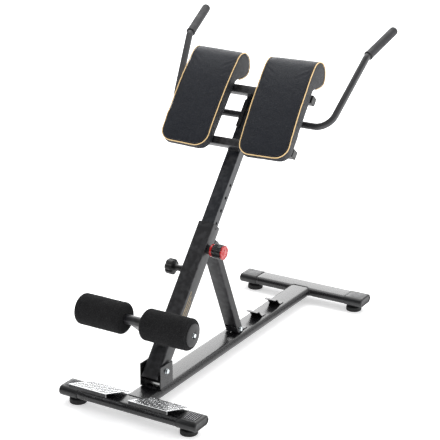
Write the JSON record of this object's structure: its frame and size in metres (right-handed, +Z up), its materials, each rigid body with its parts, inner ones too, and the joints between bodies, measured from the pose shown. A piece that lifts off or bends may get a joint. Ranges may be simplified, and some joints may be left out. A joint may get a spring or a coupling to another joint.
{
  "type": "roman chair",
  "caption": "Leaning hyperextension bench with split hip pads, ankle rollers, side handles and a sliding height post on a flat-oval tube base.",
  "frame": {"origin": "on the floor under the centre of the bounding box, which is also the middle of the base across X", "axes": "+Z up; +Y along the long beam, from the foot plates to the rear crossbar; +X across, on the side of the spring pin"},
  "size_m": [0.8346, 1.3866, 1.1941],
  "materials": {
    "satin_black_paint": "satin",
    "black_plastic": "satin",
    "black_rubber": "matte",
    "zinc_bolt": "satin",
    "bright_tread_plate": "satin",
    "roller_foam": "matte",
    "pad_leatherette": "satin",
    "pad_board": "matte",
    "red_gloss": "gloss"
  },
  "bodies": {
    "base": {"front_crossbar": "satin_black_paint", "rear_crossbar": "satin_black_paint", "main_beam": "satin_black_paint", "front_cap_left": "black_plastic", "front_cap_right": "black_plastic", "rear_cap_left": "black_plastic", "rear_cap_right": "black_plastic", "front_foot_left": "black_rubber", "front_foot_right": "black_rubber", "rear_foot_left": "black_rubber", "rear_foot_right": "black_rubber", "column_clevis": "satin_black_paint", "clevis_bolt": "zinc_bolt", "rack_hook_1": "satin_black_paint", "rack_hook_2": "satin_black_paint", "rack_hook_3": "satin_black_paint", "foot_plate_left": "bright_tread_plate", "foot_plate_right": "bright_tread_plate", "foot_plate_bracket_left": "satin_black_paint", "foot_plate_bracket_right": "satin_black_paint"},
    "column": {"outer_column": "satin_black_paint", "column_liner": "black_plastic", "roller_arm": "satin_black_paint", "roller_axle": "satin_black_paint", "roller_bolt_left": "zinc_bolt", "roller_bolt_right": "zinc_bolt", "pin_barrel": "black_plastic", "clamp_boss": "black_plastic", "strut_bracket": "satin_black_paint", "strut_bolt": "zinc_bolt"},
    "strut": {"strut_tube": "satin_black_paint", "foot_pin": "zinc_bolt"},
    "carriage": {"inner_post": "satin_black_paint", "pad_crossbar_lower": "satin_black_paint", "pad_crossbar_upper": "satin_black_paint", "crossbar_spacer_lower": "satin_black_paint", "crossbar_spacer_upper": "satin_black_paint", "bar_plug_lower_left": "black_plastic", "bar_plug_lower_right": "black_plastic", "bar_plug_upper_left": "black_plastic", "bar_plug_upper_right": "black_plastic", "post_boss_left": "satin_black_paint", "post_boss_right": "satin_black_paint", "handlebar": "satin_black_paint", "grip_left": "black_rubber", "grip_right": "black_rubber", "hip_pad_left": "pad_leatherette", "hip_pad_right": "pad_leatherette", "pad_board_left": "pad_board", "pad_board_right": "pad_board"},
    "pop_pin": {"pin_knob": "black_plastic", "pin_ring": "red_gloss", "pin_cap": "red_gloss"},
    "clamp": {"clamp_knob": "black_plastic"},
    "roller_left": {"foam_roller_left": "roller_foam", "roller_disc_left": "black_plastic"},
    "roller_right": {"foam_roller_right": "roller_foam", "roller_disc_right": "black_plastic"}
  },
  "joints": [
    {"name": "column_tilt", "type": "hinge", "parent": "base", "child": "column", "pos_m": [0, -0.4515, 0.1217], "axis": [1, 0, 0], "range_deg": [0, 20]},
    {"name": "strut_swing", "type": "hinge", "parent": "column", "child": "strut", "pos_m": [0, -0.08866, 0.45725], "axis": [1, 0, 0], "range_deg": [-60, 0]},
    {"name": "pad_height", "type": "slide", "parent": "column", "child": "carriage", "axis": [0, 0.6394, 0.7688], "range_m": [-0.25, 0.1]},
    {"name": "pin_pull", "type": "slide", "parent": "column", "child": "pop_pin", "axis": [1, 0, 0], "range_m": [0, 0.01], "stiffness_N_per_m": 600, "springref_m": -0.01},
    {"name": "clamp_turn", "type": "hinge", "parent": "column", "child": "clamp", "pos_m": [0, -0.21427, 0.40694], "axis": [-1, 0, 0], "range_deg": [0, 360]},
    {"name": "roller_left_spin", "type": "hinge", "parent": "column", "child": "roller_left", "pos_m": [0, -0.57098, 0.34398], "axis": [1, 0, 0], "continuous": true},
    {"name": "roller_right_spin", "type": "hinge", "parent": "column", "child": "roller_right", "pos_m": [0, -0.57098, 0.34398], "axis": [1, 0, 0], "continuous": true}
  ],
  "couplings": [
    {"joint": "strut_swing", "follows": "column_tilt", "ratio": -3}
  ]
}
